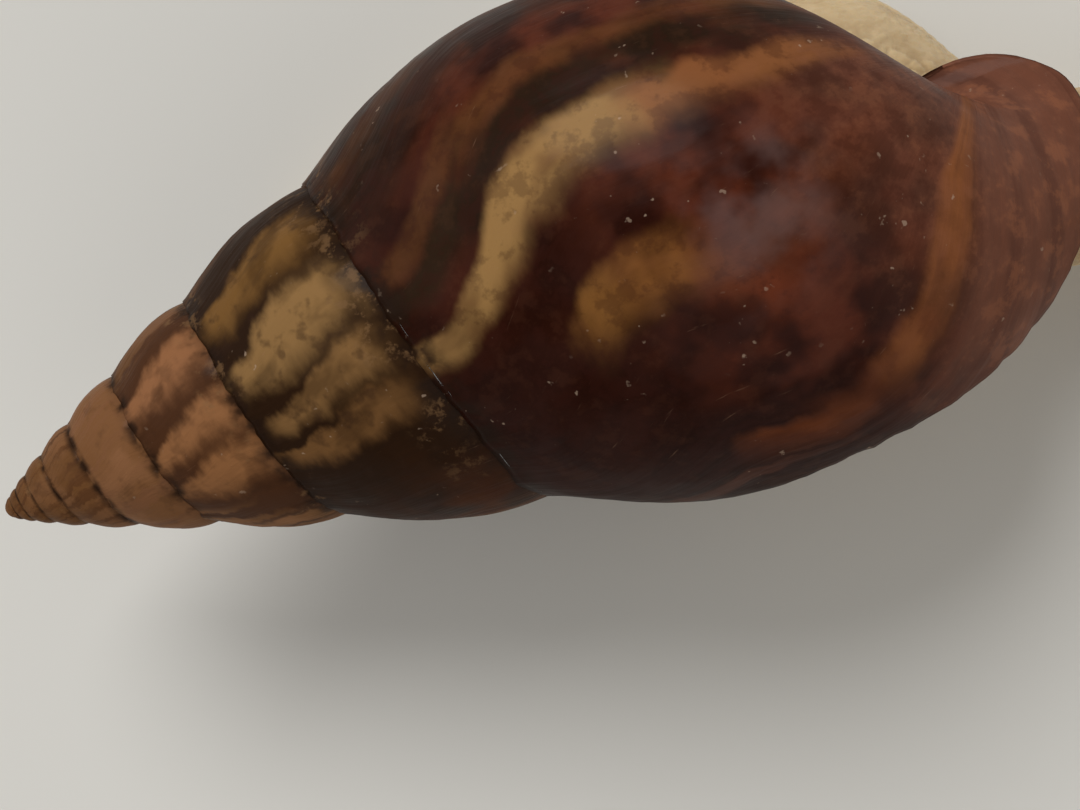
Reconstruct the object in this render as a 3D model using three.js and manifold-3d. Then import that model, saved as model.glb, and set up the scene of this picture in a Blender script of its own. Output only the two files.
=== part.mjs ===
// Giant african land snail, adult, life size, as a still museum model.
// Millimetres, +X towards the head, +Y the animal's left, +Z up, floor at z = 0.
//
// The shell is a right-handed logarithmic spiral: one profile, from the suture down to
// the base, turns about the shell's axis and grows by fixed ratios each turn. The body
// is a row of lofted lengths that stand on one flat sole, and the shell's underside is
// cut into it, so the flesh fits the shell as the real one does.

import * as THREE from "three";
import { mergeVertices } from "three/addons/utils/BufferGeometryUtils.js";
import Module from "manifold-3d";

const wasm = await Module();
wasm.setup();

// Driving dimensions ---------------------------------------------------------------

const GAP = 0.3;                  // clearance between neighbouring pieces

const SHELL_LENGTH = 125;         // apex to the base of the profile, along the axis
const LENGTH_GROWTH = 1.595;      // each whorl is this many times as long as the last
const WIDTH_GROWTH = 1.464;       // and this many times as wide
const SUTURE_DEPTH = 57.3;        // from apex to suture at the lip
const WIDEST_DEPTH = 90.1;        // from apex to the fullest part of the body whorl
const WIDEST_RADIUS = 33.3;
const SHOULDER_POWER = 1.96;      // roundness of the profile above its fullest part
const BASE_POWER = [2.32, 2.68];  // and below it
const FIRST_TURN = -7.5;          // the spiral starts this many turns before the lip
const CORE_RADIUS = 0.3;          // of the thread-thin hollow on the axis
const BASE_DROP = 0.8;            // how much further the base reaches than its profile
const LIP_DROP = 4;               // and at the lip, which draws it out
const DROP_POWER = 4.5;           // how close to the base that stays
const DRAWN_OUT_OVER = 45;        // degrees before the lip

const LIP_REACH = 22;             // degrees that the lip runs on at the suture
const LIP_STRAIGHT_FROM = 0.45;   // share of the lip below which it lies along the axis
const SHELL_WALL = 1.2;
const CALLUS = 0.6;               // glaze on the inner wall of the aperture
const BASE_END = 124.6;           // depth at which the base closes on the axis
const COLUMELLA_RADIUS = 3;
const COLUMELLA_TOP = 62;
const COLUMELLA_TAPER = 121;      // below this depth it thins
const COLUMELLA_END = 127;        // in the basal lip
const COLUMELLA_END_SHARE = 0.45; // of its radius left there
const APERTURE_TOP = 62.7;        // depth of the opening's corner at the suture
const APERTURE_FOOT = 4;          // shell left at the base
const APERTURE_DEPTH = 65;        // degrees of the last whorl left hollow
const HOLLOW_PAST_LIP = 15;       // degrees that the hollow runs on, to open fully
const COLLAR_DEPTH = 45;          // and of those filled by the mantle
const COLLAR_BEHIND_LIP = 4;      // degrees that the mantle's edge stays inside the lip
const SHELL_CLEARANCE = 0.6;      // between the shell and the flesh cut to fit it
const WHORL_OVERLAP = 0.7;        // where whorls of one piece join
const COLLAR_MARGIN = 1.5;        // degrees of room left ahead of that edge
const LEAN_FROM = -60;            // degrees before the lip where growth lines start to lean
const FACETS_PER_TURN = { apex: 12, upper: 18, lower: 22, penultimate: 26, body: 30, room: 20 };
const PROFILE_FACETS = { apex: 3, upper: 4, lower: 5, penultimate: 6, body: 12, room: 4 };

const APEX = new THREE.Vector3(-74.6, -45.3, 30.6);
const SHELL_YAW = -156.8;         // the apex points back and to the animal's right
const SHELL_TILT = 93.3;          // and droops a little
const SHELL_ROLL = 99.5;          // the aperture faces down and to the right

const BODY_START = -52;           // tip of the tail
const TAIL_END = -24;
const REAR_END = 6;
const MIDDLE_END = 36;
const FOOT_FRONT = 91;
const NECK_START = 33;
const NECK_SPLIT = 50;
const HEAD_START = 67;
const HEAD_FRONT = 92.5;
const FOOT_FACET = 4.5;           // length of one facet along the foot
const SIDES = { pillar: 10, neck: 18, waist: 20, feeler: 10 };

// Foot, by distance along the body: [x, centre line y, half width, height of its back]
const FOOT_STATIONS = [
  [BODY_START, -9, 0.8, 1.4],
  [-44, -6.4, 6.6, 5],
  [-30, -2.4, 13, 9],
  [-10, 1.2, 20, 12.4],
  [10, 2.4, 21.8, 14.4],
  [25, 2.3, 21.8, 14],
  [33, 0.8, 19, 12.6],
  [39.5, -0.6, 14.4, 11],
  [47, -1.2, 10.6, 9.4],
  [56, -1.4, 9.4, 8.4],
  [72, -3.2, 10.4, 7.4],
  [82, -5.2, 10.4, 6],
  [87.5, -6.4, 8.8, 4.8],
  [FOOT_FRONT, -6.8, 5.2, 3],
];

// Neck and head, rounds about a falling line: [x, y, z, half width, half height]
const NECK_STATIONS = [
  [NECK_START, -7.2, 21.2, 11.6, 13.7],
  [44, -5.8, 19.6, 10.6, 13],
  [55, -5.2, 18.2, 9.4, 12.2],
  [66, -5, 17, 9.5, 10.8],
  [76, -5.4, 16.4, 10.4, 10.2],
  [84, -6.2, 14.8, 9.6, 9.2],
  [90, -6.8, 12.8, 6.6, 6.8],
  [HEAD_FRONT, -7, 12, 2.4, 2.8],
];

// Waist, where the body rises into the shell, turning from the line of the foot to the
// line of the aperture: [z, x, y, half length, half width, degrees]
const WAIST_STATIONS = [
  [4, 7, 0, 31, 15, 4],
  [12, 9, -3, 28.5, 14.5, 8],
  [20, 12, -8, 27, 14.5, 15],
  [30, 15, -15, 26, 14.5, 26],
  [37, 16, -19, 24, 14, 31],
  [42, 14, -21, 18, 12, 33],
  [47, 11, -22.5, 9, 7.5, 34],
];

// A tentacle's line, from its root in the head to its tip: [forward, outward, up]
const UPPER_TENTACLE = [[0, 0, 0], [7, 2.6, 6.4], [14.5, 6, 10.6], [21.5, 9.6, 12.4]];
const UPPER_ROOT = [79, 4.6, 19.5];
const UPPER_RADII = [2.3, 1.5, 1.15, 1.05];
const UPPER_BULB = 1.75;
const LOWER_TENTACLE = [[0, 0, 0], [2.6, 1.2, -0.8], [5.2, 2.2, -2.4], [6.8, 2.8, -3.6]];
const LOWER_ROOT = [85.6, 5.4, 10];
const LOWER_RADII = [1.7, 1.25, 1.05, 1.0];
const LOWER_BULB = 1.3;
const FEELER_SPLIT = 0.5;         // share of its length where the tip piece starts
const FEELER_GAP = 0.01;          // and what is left free before it
const HEAD_CENTRE_LINE = -6;      // where the feelers grow
const HEAD_FRONT_LINE = -6.8;     // and at the mouth
const EYE_RADIUS = 0.8;
const EYE_AHEAD = 0.62;           // of the bulb's radius, how far out the eye's centre is

const LIP_LOBE = { radii: [2.9, 2.7, 3.3], at: [90.2, 2.5, 6.4] };

// Colours ------------------------------------------------------------------------

const shellBrown = { color: 0x4a2418, roughness: 0.38, metalness: 0 };
const spireTan = { color: 0x9a6c52, roughness: 0.45, metalness: 0 };
const apexTan = { color: 0xb08d78, roughness: 0.5, metalness: 0 };
const skinCream = { color: 0xcbb591, roughness: 0.42, metalness: 0 };
const collarCream = { color: 0xd6c19c, roughness: 0.38, metalness: 0 };
const eyeBlack = { color: 0x14100e, roughness: 0.12, metalness: 0 };

const part = new THREE.Group();

function addPiece(name, solid, look) {
  const { vertProperties, triVerts } = solid.getMesh();
  const geometry = new THREE.BufferGeometry();
  geometry.setAttribute("position", new THREE.BufferAttribute(vertProperties, 3));
  geometry.setIndex(new THREE.BufferAttribute(triVerts, 1));
  geometry.computeVertexNormals();
  const mesh = new THREE.Mesh(geometry, new THREE.MeshStandardMaterial(look));
  mesh.name = name;
  part.add(mesh);
}

// Lofts --------------------------------------------------------------------------

// Joins equal rings of points into one closed solid. The outline is the rings' shape
// on the flat, from which the two end caps get their triangles.
function loft(rings, outline) {
  const count = outline.length;
  const vertices = rings.flat().flatMap((point) => point.toArray());
  const triangles = [];
  for (let ring = 0; ring + 1 < rings.length; ring++) {
    for (let i = 0; i < count; i++) {
      const a = ring * count + i;
      const b = ring * count + (i + 1) % count;
      triangles.push([a, b, b + count], [a, b + count, a + count]);
    }
  }
  const last = (rings.length - 1) * count;
  for (const [a, b, c] of THREE.ShapeUtils.triangulateShape(outline, [])) {
    triangles.push([a, c, b], [last + a, last + b, last + c]);
  }
  const volume = triangles.reduce((sum, corners) => {
    const [a, b, c] = corners.map((i) => new THREE.Vector3().fromArray(vertices, 3 * i));
    return sum + a.dot(b.cross(c));
  }, 0);
  const outward = volume > 0 ? triangles : triangles.map(([a, b, c]) => [a, c, b]);
  return new wasm.Manifold(new wasm.Mesh({
    numProp: 3,
    vertProperties: new Float32Array(vertices),
    triVerts: new Uint32Array(outward.flat()),
  }));
}

// Values at one place along a list of stations, smoothed through its neighbours.
function between(stations, place) {
  let i = stations.findIndex((station) => station[0] >= place);
  i = Math.min(Math.max(i, 1), stations.length - 1);
  const [from, to] = [stations[i - 1], stations[i]];
  const before = stations[i - 2] ?? from;
  const after = stations[i + 1] ?? to;
  const span = to[0] - from[0];
  const t = (place - from[0]) / span;
  return from.slice(1).map((_, k) => {
    const v = k + 1;
    const slopeIn = (to[v] - before[v]) / (to[0] - before[0]) * span;
    const slopeOut = (after[v] - from[v]) / (after[0] - from[0]) * span;
    return from[v] * (2 * t ** 3 - 3 * t ** 2 + 1) + slopeIn * (t ** 3 - 2 * t ** 2 + t)
      + to[v] * (3 * t ** 2 - 2 * t ** 3) + slopeOut * (t ** 3 - t ** 2);
  });
}

function steps(from, to, count) {
  return Array.from({ length: count + 1 }, (_, i) => from + (to - from) * i / count);
}

function circle(count) {
  return steps(0, 2 * Math.PI, count).slice(0, count)
    .map((angle) => new THREE.Vector2(Math.cos(angle), Math.sin(angle)));
}

// Shell --------------------------------------------------------------------------

const zAxis = new THREE.Vector3(0, 0, 1);
const yAxis = new THREE.Vector3(0, 1, 0);
const turned = (axis, degrees) =>
  new THREE.Quaternion().setFromAxisAngle(axis, THREE.MathUtils.degToRad(degrees));
const shellTurn = turned(zAxis, SHELL_YAW)
  .multiply(turned(yAxis, SHELL_TILT))
  .multiply(turned(zAxis, SHELL_ROLL));

// A place on the shell: how far out, how far below the apex, and how many degrees
// before the lip. Both distances shrink with the spiral.
function shellPoint(radius, depth, degrees) {
  const angle = THREE.MathUtils.degToRad(degrees);
  const wide = WIDTH_GROWTH ** (degrees / 360);
  const long = LENGTH_GROWTH ** (degrees / 360);
  return new THREE.Vector3(
    wide * radius * Math.cos(angle),
    -wide * radius * Math.sin(angle),
    -long * depth,
  ).applyQuaternion(shellTurn).add(APEX);
}

function baseRadius(depth) {
  const t = Math.min((depth - WIDEST_DEPTH) / (SHELL_LENGTH - WIDEST_DEPTH), 1);
  return WIDEST_RADIUS * (1 - t ** BASE_POWER[0]) ** (1 / BASE_POWER[1]);
}

const NEXT_SUTURE = SUTURE_DEPTH * LENGTH_GROWTH;
const SUTURE_RADIUS = baseRadius(NEXT_SUTURE) / WIDTH_GROWTH;

function whorlRadius(depth) {
  if (depth >= WIDEST_DEPTH) return baseRadius(depth);
  const t = (WIDEST_DEPTH - depth) / (WIDEST_DEPTH - SUTURE_DEPTH);
  return WIDEST_RADIUS - (WIDEST_RADIUS - SUTURE_RADIUS) * t ** SHOULDER_POWER;
}

// How much further down than the profile a place near the last whorl's base is.
function basalDrop(depth, degrees) {
  if (degrees < -360) return 0;
  const share = (depth - WIDEST_DEPTH) / (SHELL_LENGTH - WIDEST_DEPTH);
  const nearLip = THREE.MathUtils.smoothstep(degrees, -DRAWN_OUT_OVER, 0);
  const drop = THREE.MathUtils.lerp(BASE_DROP, LIP_DROP, nearLip);
  return drop * THREE.MathUtils.clamp(share, 0, 1) ** DROP_POWER;
}

// How far past the end of the last whorl the lip runs, at a depth.
function lipReach(depth) {
  const share = (depth - SUTURE_DEPTH) / (SHELL_LENGTH - SUTURE_DEPTH);
  return LIP_REACH * Math.max(0, 1 - share / LIP_STRAIGHT_FROM);
}

// A stretch of the spiral as a solid, with the given outline in radius and depth. The
// last 60 degrees before the lip lean over until they end along the lip.
function spiral(outline, fromDegrees, toDegrees, perTurn, grow = 0, lipInset = null) {
  const count = Math.ceil((toDegrees - fromDegrees) / 360 * perTurn);
  const rings = steps(fromDegrees, toDegrees, count).map((degrees) => outline.map((p) => {
    const lean = lipInset === null ? 0 : THREE.MathUtils.smoothstep(degrees, LEAN_FROM, 0);
    const reach = lean * (lipReach(p.y) - (lipInset ?? 0));
    const shrink = WIDTH_GROWTH ** (-degrees / 360);
    const outwards = p.x > CORE_RADIUS ? grow * shrink : 0;
    return shellPoint(p.x + outwards, p.y + basalDrop(p.y, degrees), degrees + reach);
  }));
  return loft(rings, outline);
}

// A whorl's outline: out along the top, down the profile and back in at the bottom,
// where it may end higher or lower on the axis than at the rim.
function whorlOutline(top, bottom, coreBottom, count) {
  const profile = steps(top, bottom, count)
    .map((depth) => new THREE.Vector2(whorlRadius(depth), depth));
  return [new THREE.Vector2(CORE_RADIUS, top), ...profile,
    new THREE.Vector2(CORE_RADIUS, coreBottom)];
}

// The clearance after a piece that ends at a turn, as an angle about the axis.
function cutDegrees(turn) {
  const reach = SUTURE_RADIUS * WIDTH_GROWTH ** turn;
  return THREE.MathUtils.radToDeg(GAP / reach);
}

// Two facets of the winding floor between whorls may differ in height near the axis, so
// what is left between whorls grows towards it.
function facetRise(perTurn) {
  return 2 * NEXT_SUTURE * (LENGTH_GROWTH ** (1 / perTurn) - 1);
}

// One turn of the spire, which keeps clear of the whorl below it.
function whorl(turn, perTurn, count, grow = 0) {
  const rim = NEXT_SUTURE - GAP / LENGTH_GROWTH ** turn;
  const outline = whorlOutline(SUTURE_DEPTH, rim, rim - facetRise(perTurn), count);
  const start = 360 * turn + cutDegrees(turn);
  return spiral(outline, start, 360 * (turn + 1), perTurn, grow);
}

// The first whorls are one piece, joined from half turns that run into each other.
function tipOfShell(lastTurn, perTurn, count) {
  let whole = null;
  for (let turn = FIRST_TURN; turn < lastTurn; turn += 0.5) {
    const inside = turn < lastTurn - 1;
    const rim = NEXT_SUTURE + (inside ? WHORL_OVERLAP : -GAP / LENGTH_GROWTH ** turn);
    const core = rim + (inside ? 1 : -1) * facetRise(perTurn);
    const outline = whorlOutline(SUTURE_DEPTH, rim, core, count);
    const half = spiral(outline, 360 * turn, 360 * (turn + 0.5), perTurn);
    whole = whole ? whole.add(half) : half;
  }
  return whole;
}

// The pillar in the middle of the aperture, which thins towards the base.
function columella(grow) {
  const rings = [[COLUMELLA_TOP, 1], [COLUMELLA_TAPER, 1], [COLUMELLA_END, COLUMELLA_END_SHARE]]
    .map(([depth, share]) => circle(SIDES.pillar).map((p) => shellPoint(0, depth, 0).add(
      new THREE.Vector3(p.x, p.y, 0).multiplyScalar(COLUMELLA_RADIUS * share + grow)
        .applyQuaternion(shellTurn))));
  return loft(rings, circle(SIDES.pillar));
}

// The opening of the last whorl: its outer wall, then back along the whorl before it.
function apertureOutline(inset) {
  const wall = SHELL_WALL + inset;
  const start = APERTURE_TOP + 2 * inset;
  const depthRange = SHELL_LENGTH - APERTURE_FOOT - inset - start;
  const outer = steps(0, 1, 9).map((t) => {
    const depth = start + depthRange * Math.sin(t * Math.PI / 2);
    return new THREE.Vector2(whorlRadius(depth) - wall, depth);
  });
  const pillar = (COLUMELLA_RADIUS + inset) / 2;
  const turnIn = SHELL_LENGTH / LENGTH_GROWTH;
  const inner = steps(turnIn - 0.4, start + 2, 5).map((depth) => {
    const before = whorlRadius(depth * LENGTH_GROWTH) / WIDTH_GROWTH;
    return new THREE.Vector2(Math.max(before + CALLUS + inset, pillar), depth + inset);
  });
  const pillarEnd = new THREE.Vector2(pillar, SHELL_LENGTH - 2 * APERTURE_FOOT);
  return [...outer, pillarEnd, new THREE.Vector2(pillar, turnIn + 3), ...inner];
}

function bodyWhorl(grow) {
  const top = SUTURE_DEPTH - grow;
  const growDown = LENGTH_GROWTH * grow;
  const profile = steps(0, 1, PROFILE_FACETS.body).map((t) => {
    const depth = SUTURE_DEPTH + (BASE_END - SUTURE_DEPTH) * Math.sin(t * Math.PI / 2);
    const lower = THREE.MathUtils.lerp(-grow, growDown, t);
    return new THREE.Vector2(whorlRadius(depth), depth + lower);
  });
  const outline = [new THREE.Vector2(CORE_RADIUS, top), ...profile,
    new THREE.Vector2(CORE_RADIUS, BASE_END + growDown)];
  const perTurn = FACETS_PER_TURN.body;
  const older = spiral(outline, -360 + cutDegrees(-1), -180, perTurn, grow);
  const newer = spiral(outline, -180, 0, perTurn, grow, 0);
  const hollowEnd = LIP_REACH + HOLLOW_PAST_LIP;
  const hollow = spiral(apertureOutline(grow), -APERTURE_DEPTH, hollowEnd, perTurn);
  return older.add(newer).subtract(hollow).add(columella(grow));
}

// Flesh --------------------------------------------------------------------------

function ball(radii, [x, y, z]) {
  const geometry = new THREE.IcosahedronGeometry(1, 1);
  geometry.deleteAttribute("normal");
  geometry.deleteAttribute("uv");
  geometry.scale(...radii).translate(x, y, z);
  const merged = mergeVertices(geometry);
  return new wasm.Manifold(new wasm.Mesh({
    numProp: 3,
    vertProperties: merged.attributes.position.array,
    triVerts: Uint32Array.from(merged.index.array),
  }));
}

// Cuts the room that other pieces take out of a solid and keeps its main body.
function carve(solid, ...cutters) {
  const left = cutters.reduce((rest, cutter) => rest.subtract(cutter), solid);
  return left.decompose().reduce((a, b) => (a.volume() > b.volume() ? a : b));
}

// One side of the foot, as shares of its half width and height.
const halfFoot = [[1, 0], [1, 0.14], [0.9, 0.4], [0.68, 0.76], [0.36, 0.95]];
const footOutline = [...halfFoot, [0, 1], ...halfFoot.map(([y, z]) => [-y, z]).reverse()]
  .map(([y, z]) => new THREE.Vector2(y, z));

// A length of the foot: a flat sole with thin rounded edges and a low arched back.
function footLength(from, to, count, grow = 0) {
  const rings = steps(from, to, count).map((x) => {
    const [y, halfWidth, height] = between(FOOT_STATIONS, x);
    return footOutline.map((p) => new THREE.Vector3(
      x, y + p.x * (halfWidth + grow), p.y * (height + grow)));
  });
  return loft(rings, footOutline);
}

function neckLength(from, to, count, grow = 0) {
  const rings = steps(from, to, count).map((x) => {
    const [y, z, halfWidth, halfHeight] = between(NECK_STATIONS, x);
    return circle(SIDES.neck).map((p) => new THREE.Vector3(
      x, y + p.x * (halfWidth + grow), z + p.y * (halfHeight + grow)));
  });
  return loft(rings, circle(SIDES.neck));
}

function waist(grow) {
  const top = WAIST_STATIONS.at(-1)[0];
  const rings = steps(WAIST_STATIONS[0][0], top, 8).map((z) => {
    const [x, y, halfLength, halfWidth, turn] = between(WAIST_STATIONS, z);
    return circle(SIDES.waist).map((p) => new THREE.Vector3(
      p.x * (halfLength + grow), p.y * (halfWidth + grow), z)
      .applyAxisAngle(zAxis, THREE.MathUtils.degToRad(turn)).add(new THREE.Vector3(x, y, 0)));
  });
  return loft(rings, circle(SIDES.waist));
}

// A tapering feeler from its root, on the side given as 1 for left or -1 for right,
// over the given share of its length.
function feeler(root, line, radii, side, from, to, grow = 0) {
  const at = ([forward, outward, up]) => new THREE.Vector3(
    root[0] + forward, HEAD_CENTRE_LINE + side * (root[1] + outward), root[2] + up);
  const curve = new THREE.CatmullRomCurve3(line.map(at));
  const rings = steps(from, to, 6).map((t) => {
    const along = curve.getTangent(t);
    const across = new THREE.Vector3().crossVectors(zAxis, along).normalize();
    const over = new THREE.Vector3().crossVectors(along, across);
    const place = t * (radii.length - 1);
    const i = Math.min(Math.floor(place), radii.length - 2);
    const radius = THREE.MathUtils.lerp(radii[i], radii[i + 1], place - i) + grow;
    return circle(SIDES.feeler).map((p) => curve.getPoint(t)
      .addScaledVector(across, p.x * radius).addScaledVector(over, p.y * radius));
  });
  const tip = curve.getPoint(1);
  return { solid: loft(rings, circle(SIDES.feeler)), tip, heading: curve.getTangent(1) };
}

// Assembly -----------------------------------------------------------------------

const [around, down] = [FACETS_PER_TURN, PROFILE_FACETS];
addPiece("shell_apex", carve(tipOfShell(-4, around.apex, down.apex)), apexTan);
addPiece("shell_upper_spire_whorl", whorl(-4, around.upper, down.upper), spireTan);
addPiece("shell_lower_spire_whorl", whorl(-3, around.lower, down.lower), spireTan);
addPiece("shell_penultimate_whorl", whorl(-2, around.penultimate, down.penultimate), shellBrown);
addPiece("shell_body_whorl", bodyWhorl(0), shellBrown);

const shellRoom = [-4, -3, -2]
  .map((turn) => whorl(turn, around.room, down.room, SHELL_CLEARANCE))
  .reduce((room, solid) => room.add(solid), bodyWhorl(SHELL_CLEARANCE).add(bodyWhorl(0)));
const collar = (inset, behindLip) =>
  spiral(apertureOutline(inset), -COLLAR_DEPTH, 0, FACETS_PER_TURN.body, 0, behindLip);
addPiece("mantle_collar", carve(collar(GAP, COLLAR_BEHIND_LIP), shellRoom), collarCream);
const collarRoom = collar(0, COLLAR_BEHIND_LIP - COLLAR_MARGIN);

const footCuts = [BODY_START, TAIL_END, REAR_END, MIDDLE_END, FOOT_FRONT];
["tail", "foot_rear", "foot_middle", "foot_front"].forEach((name, i) => {
  const end = footCuts[i + 1] - (i < 3 ? GAP : 0);
  const length = footLength(footCuts[i], end, Math.round((end - footCuts[i]) / FOOT_FACET));
  addPiece(name, carve(length, shellRoom), skinCream);
});
const footRoom = footLength(BODY_START, FOOT_FRONT, 32, GAP);

addPiece("waist", carve(waist(0), shellRoom, collarRoom, footRoom), skinCream);
addPiece("neck_rear", carve(neckLength(NECK_START, NECK_SPLIT - GAP, 5),
  shellRoom, collarRoom, footRoom, waist(GAP)), skinCream);
addPiece("neck_front", carve(neckLength(NECK_SPLIT, HEAD_START - GAP, 5), footRoom,
  shellRoom), skinCream);
addPiece("head", carve(neckLength(HEAD_START, HEAD_FRONT, 8), footRoom), skinCream);
const headRoom = neckLength(HEAD_START, HEAD_FRONT, 10, GAP);

// Two fleshy lobes under the front of the head, either side of the mouth.
function lips(grow) {
  const radii = LIP_LOBE.radii.map((radius) => radius + grow);
  const [x, y, z] = LIP_LOBE.at;
  const lobes = [1, -1].map((side) => ball(radii, [x, HEAD_FRONT_LINE + side * y, z]));
  return lobes[0].add(lobes[1]);
}
addPiece("lips", carve(lips(0), headRoom, footRoom), skinCream);
const lipsRoom = lips(2 * GAP);

for (const [side, word] of [[1, "left"], [-1, "right"]]) {
  const upper = (from, to) =>
    feeler(UPPER_ROOT, UPPER_TENTACLE, UPPER_RADII, side, from, to);
  const { solid: outer, tip, heading } = upper(FEELER_SPLIT, 1);
  const eyeAt = tip.clone().addScaledVector(heading, UPPER_BULB * EYE_AHEAD).toArray();
  const bulb = ball([UPPER_BULB, UPPER_BULB, UPPER_BULB], tip.toArray());
  const eyeRoom = EYE_RADIUS + GAP;
  addPiece(`upper_tentacle_${word}_root`,
    carve(upper(0, FEELER_SPLIT - FEELER_GAP).solid, headRoom), skinCream);
  addPiece(`upper_tentacle_${word}_tip`,
    carve(outer.add(bulb), ball([eyeRoom, eyeRoom, eyeRoom], eyeAt)), skinCream);
  addPiece(`eye_${word}`, ball([EYE_RADIUS, EYE_RADIUS, EYE_RADIUS], eyeAt), eyeBlack);
  const lower = feeler(LOWER_ROOT, LOWER_TENTACLE, LOWER_RADII, side, 0, 1);
  const knob = ball([LOWER_BULB, LOWER_BULB, LOWER_BULB], lower.tip.toArray());
  addPiece(`lower_tentacle_${word}`, carve(lower.solid.add(knob), headRoom, lipsRoom), skinCream);
}

// The origin is on the floor under the middle of the whole animal.
part.updateMatrixWorld(true);
const middle = new THREE.Box3().setFromObject(part).getCenter(new THREE.Vector3());
part.position.set(-middle.x, -middle.y, 0);

export default part;
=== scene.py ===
import math

import bmesh
import bpy
from mathutils import Matrix, Vector, noise


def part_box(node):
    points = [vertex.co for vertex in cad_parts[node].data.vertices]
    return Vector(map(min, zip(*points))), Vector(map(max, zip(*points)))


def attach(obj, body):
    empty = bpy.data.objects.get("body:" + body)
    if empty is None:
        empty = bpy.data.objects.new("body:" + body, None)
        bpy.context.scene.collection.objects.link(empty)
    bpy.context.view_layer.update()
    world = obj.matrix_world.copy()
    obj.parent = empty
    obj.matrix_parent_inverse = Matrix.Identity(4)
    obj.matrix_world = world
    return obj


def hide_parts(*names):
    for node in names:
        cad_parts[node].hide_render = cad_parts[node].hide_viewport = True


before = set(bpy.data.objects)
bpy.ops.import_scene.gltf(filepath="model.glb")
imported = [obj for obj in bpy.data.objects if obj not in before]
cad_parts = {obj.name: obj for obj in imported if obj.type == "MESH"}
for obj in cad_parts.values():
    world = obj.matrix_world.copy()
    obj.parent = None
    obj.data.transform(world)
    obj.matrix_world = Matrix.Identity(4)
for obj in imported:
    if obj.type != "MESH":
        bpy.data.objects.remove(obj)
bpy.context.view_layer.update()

# ---------------------------------------------------------------------------------------
# The shell. One thin limy tube, wound to the right about a slanting axis while it widens
# evenly with every turn. It lies on the animal's back, tip to the rear, and its glossy
# brown surface carries ridges and flames along the lines that the lip left as it grew.

# The animal is drawn in millimetres about a point on the floor, heading along X, and
# every finished mesh is moved from there onto the CAD solids.
MILLIMETRE = 0.001
TAIL_TIP = -52.0                # where the tail starts in the drawing
HEAD_LINE = -6.0                # the line midway between the feelers
tail_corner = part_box("tail")[0]
between_eyes = sum((sum(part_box(name), Vector()) / 2 for name in ("eye_left", "eye_right")),
                   Vector()) / 2
to_frame = (Matrix.Translation((tail_corner.x - TAIL_TIP * MILLIMETRE,
                                between_eyes.y - HEAD_LINE * MILLIMETRE, 0))
            @ Matrix.Scale(MILLIMETRE, 4))

# Depths run along the axis from the tip, and turns are in degrees, with 0 at the lip.
SHELL_LENGTH = 125.0            # from the tip to the base of the last whorl
LENGTH_GROWTH = 1.595           # each whorl is this many times as long as the last
WIDTH_GROWTH = 1.464            # and this many times as wide
SUTURE_DEPTH = 57.3             # of the seam, where it meets the lip
WIDEST_DEPTH = 90.1
WIDEST_RADIUS = 33.3
SHOULDER_POWER = 1.96           # roundness of a whorl above its widest place
BASE_POWERS = (2.32, 2.68)      # and below it
BASE_END = 124.6                # where the base closes on the axis
BASE_DROP = 0.8                 # how much further the base reaches than that
LIP_DROP = 4.0                  # and at the lip, which is drawn out
DRAWN_OUT_FROM = -45            # the turn from which it is
FIRST_TURN = -3060              # eight and a half whorls back from the lip
TIP_END = -1345                 # where the piece with the tip gives way to the spire
SPIRE_END = -625                # and the spire to the piece with the last whorls
LAST_WHORL = -360               # where the whorl that ends at the lip starts
MOUTH_END = -75                 # how far back the mouth is hollow
LIP_REACH = 22                  # degrees that the lip runs on at the seam
LIP_STRAIGHT_FROM = 0.45        # share of the lip below which it doesn't
NEXT_SUTURE = SUTURE_DEPTH * LENGTH_GROWTH
APEX = Vector((-74.6, -45.3, 30.6))
SHELL_YAW, SHELL_TILT, SHELL_ROLL = -156.8, 93.3, 99.5
shell_turn = (Matrix.Rotation(math.radians(SHELL_YAW), 3, "Z")
              @ Matrix.Rotation(math.radians(SHELL_TILT), 3, "Y")
              @ Matrix.Rotation(math.radians(SHELL_ROLL), 3, "Z"))


def smooth_step(low, high, value):
    """0 up to low and 1 from high on, with a soft change between them."""
    share = min(max((value - low) / (high - low), 0), 1)
    return share * share * (3 - 2 * share)


def base_radius(depth):
    share = min((depth - WIDEST_DEPTH) / (SHELL_LENGTH - WIDEST_DEPTH), 1)
    return WIDEST_RADIUS * (1 - share ** BASE_POWERS[0]) ** (1 / BASE_POWERS[1])


SUTURE_RADIUS = base_radius(NEXT_SUTURE) / WIDTH_GROWTH


def whorl_radius(depth):
    """How far the whorl that ends at the lip stands from the axis, at a depth below the tip."""
    if depth >= WIDEST_DEPTH:
        return base_radius(depth)
    share = (WIDEST_DEPTH - depth) / (WIDEST_DEPTH - SUTURE_DEPTH)
    return WIDEST_RADIUS - (WIDEST_RADIUS - SUTURE_RADIUS) * share ** SHOULDER_POWER


def whorl_before(depth):
    """The same for the whorl wound just before it."""
    return whorl_radius(depth * LENGTH_GROWTH) / WIDTH_GROWTH


def across_whorl(depth):
    """0 at the seam above a whorl, 1 at the base."""
    return (depth - SUTURE_DEPTH) / (SHELL_LENGTH - SUTURE_DEPTH)


def near_lip(degrees):
    """How far the last sixth of a whorl has taken on the lip's own shape."""
    return smooth_step(-60, 0, degrees)


def leaning(degrees, depth):
    """The turn at which a place on the last sixth of a whorl really lies, as it nears the lip."""
    reach = LIP_REACH * max(0, 1 - across_whorl(depth) / LIP_STRAIGHT_FROM)
    return degrees + near_lip(degrees) * reach


def growth_line(degrees, depth):
    """Which growth line a place is on: the same number all along one former lip."""
    share = across_whorl(depth)
    slant = 12 + 19 * smooth_step(-400, -330, degrees)
    base_sweep = 214 * min(max((degrees + 92) / 40, 0), 1)
    return (leaning(degrees, depth) + slant * smooth_step(0.02, 0.4, share)
            + base_sweep * max(0, share - 0.5) ** 2)


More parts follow.
